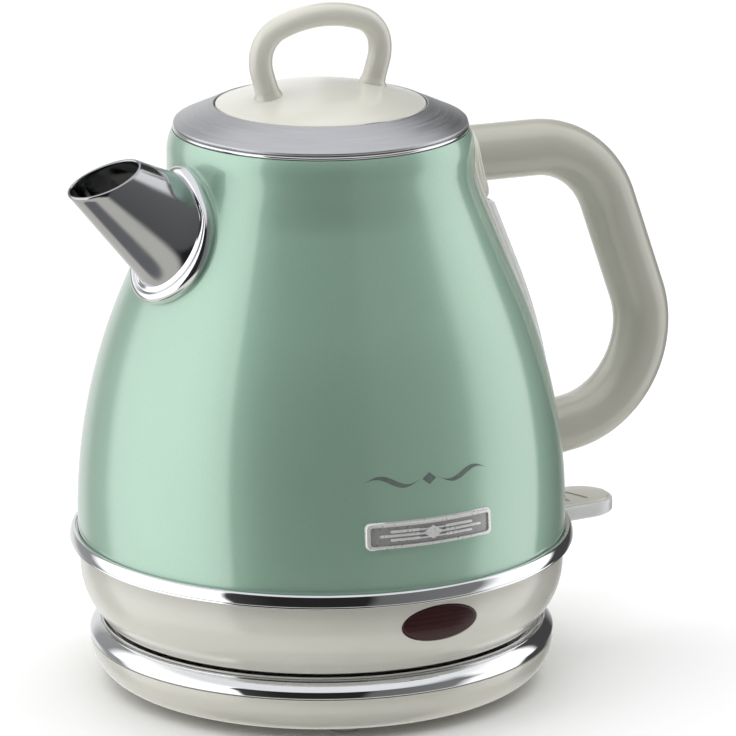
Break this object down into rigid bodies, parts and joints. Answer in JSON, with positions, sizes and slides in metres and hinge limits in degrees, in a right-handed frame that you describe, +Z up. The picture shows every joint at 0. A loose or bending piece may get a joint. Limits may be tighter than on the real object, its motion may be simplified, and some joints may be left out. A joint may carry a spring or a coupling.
{
  "type": "electric kettle",
  "caption": "Retro electric kettle: bell-shaped mint body, cone spout, lift-off lid with a loop, round side handle, rear switch lever, on a round power base.",
  "frame": {"origin": "middle of the kettle's outline on the table that its feet stand on; the kettle's own axis is 21 mm towards -X of it", "axes": "+Z up, spout towards -X, handle and switch lever towards +X, lamp facing -Y"},
  "size_m": [0.226, 0.1662, 0.2268],
  "materials": {
    "cream_gloss": "glossy moulded plastic, warm cream",
    "cream_matte": "soft-touch matte plastic, grey cream",
    "mint_paint": "glossy pearl mint lacquer on steel",
    "chrome": "mirror chrome",
    "polished_steel": "polished stainless steel",
    "brushed_steel": "satin stainless steel",
    "steel_hardware": "zinc-plated steel",
    "brass": "plain brass",
    "black_plastic": "black moulded plastic",
    "rubber": "soft rubber",
    "clear_plastic": "clear moulded plastic",
    "lamp_red": "dark red lamp lens"
  },
  "bodies": {
    "base": {"base_shell": "cream_gloss", "base_bottom_plate": "cream_gloss", "base_trim_ring": "chrome", "base_tray": "cream_gloss", "base_socket": "black_plastic", "base_contacts": "brass", "shutter_spring": "steel_hardware", "base_feet": "rubber", "base_screws": "steel_hardware", "cord_inlet": "cream_gloss"},
    "shutter": {"contact_shutter": "cream_gloss"},
    "kettle": {"body_shell": "mint_paint", "body_trim_ring": "chrome", "bottom_housing": "cream_gloss", "bottom_cover": "cream_gloss", "bottom_screws": "steel_hardware", "heater_plate": "polished_steel", "plate_seal": "rubber", "heating_element": "polished_steel", "element_tabs": "brass", "control_unit": "black_plastic", "bimetal_disc": "polished_steel", "kettle_plug": "black_plastic", "steam_tube": "polished_steel", "spout": "polished_steel", "spout_collar": "chrome", "lamp_lens": "lamp_red", "lamp_bulb": "lamp_red", "badge_frame": "chrome", "badge_plate": "brushed_steel", "gauge_frame": "cream_gloss", "gauge_window": "clear_plastic", "gauge_seals": "rubber", "handle": "cream_matte", "handle_collar": "cream_matte", "handle_cores": "steel_hardware", "handle_bolts": "steel_hardware", "handle_washers": "rubber", "lever_pin": "steel_hardware", "lever_spring": "steel_hardware"},
    "switch": {"switch_lever": "cream_gloss", "lever_rim": "clear_plastic"},
    "filter": {"filter_frame": "cream_gloss", "filter_mesh": "polished_steel"},
    "lid": {"lid_rim": "chrome", "lid_shell": "brushed_steel", "lid_disc": "cream_gloss", "lid_loop": "cream_gloss", "lid_plug": "cream_gloss", "lid_gasket": "rubber", "lid_screws": "steel_hardware"}
  },
  "joints": [
    {"name": "kettle_turn", "type": "hinge", "parent": "base", "child": "shutter", "pos_m": [-0.02095, 0, 0.024], "axis": [0, 0, 1], "continuous": true},
    {"name": "kettle_lift", "type": "slide", "parent": "shutter", "child": "kettle", "axis": [0, 0, 1], "range_m": [0, 0.12]},
    {"name": "lid_lift", "type": "slide", "parent": "kettle", "child": "lid", "axis": [0, 0, 1], "range_m": [0, 0.06]},
    {"name": "switch_press", "type": "hinge", "parent": "kettle", "child": "switch", "pos_m": [0.04505, 0, 0.044], "axis": [0, 1, 0], "range_deg": [0, 8]},
    {"name": "filter_pull", "type": "slide", "parent": "kettle", "child": "filter", "axis": [1, 0, 0], "range_m": [0, 0.02]}
  ]
}
